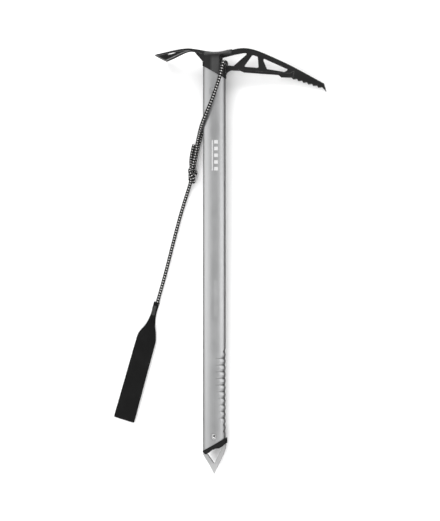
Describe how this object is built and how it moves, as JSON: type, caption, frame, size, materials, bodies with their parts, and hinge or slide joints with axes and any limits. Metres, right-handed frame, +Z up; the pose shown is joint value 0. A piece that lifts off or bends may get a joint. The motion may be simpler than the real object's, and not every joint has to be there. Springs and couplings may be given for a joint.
{
  "type": "ice axe",
  "caption": "Mountaineering ice axe with a toothed pick, an adze, an oval shaft, a spike with an eye, and a cord leash with a wrist strap, laid on its side.",
  "frame": {"origin": "on the floor below the middle of the whole object's box", "axes": "+Y along the shaft from the spike to the head, +X towards the pick, +Z up from the floor that the axe lies on"},
  "size_m": [0.3226, 0.6065, 0.0566],
  "materials": {
    "head_steel": "satin black coating on forged steel",
    "shaft_alloy": "bead-blasted and anodised",
    "rivet_steel": "bright",
    "plug_plastic": "moulded",
    "spike_steel": "satin",
    "cord_braid": "black braid with light flecks",
    "webbing": "woven",
    "thread": "bonded thread"
  },
  "bodies": {
    "axe": {"head": "head_steel", "shaft": "shaft_alloy", "head_rivet": "rivet_steel", "end_plug": "plug_plastic", "spike": "spike_steel", "spike_rivet": "rivet_steel", "leash_cord": "cord_braid", "leash_knot": "cord_braid", "leash_tail": "cord_braid"},
    "leash_end": {"leash_strand": "cord_braid", "wrist_strap": "webbing", "strap_bartack": "thread"}
  },
  "joints": [
    {"name": "leash_swing", "type": "hinge", "parent": "axe", "child": "leash_end", "pos_m": [-0.0372, 0.1247, 0.0067], "axis": [0, 0, 1], "range_deg": [-60, 12]}
  ]
}
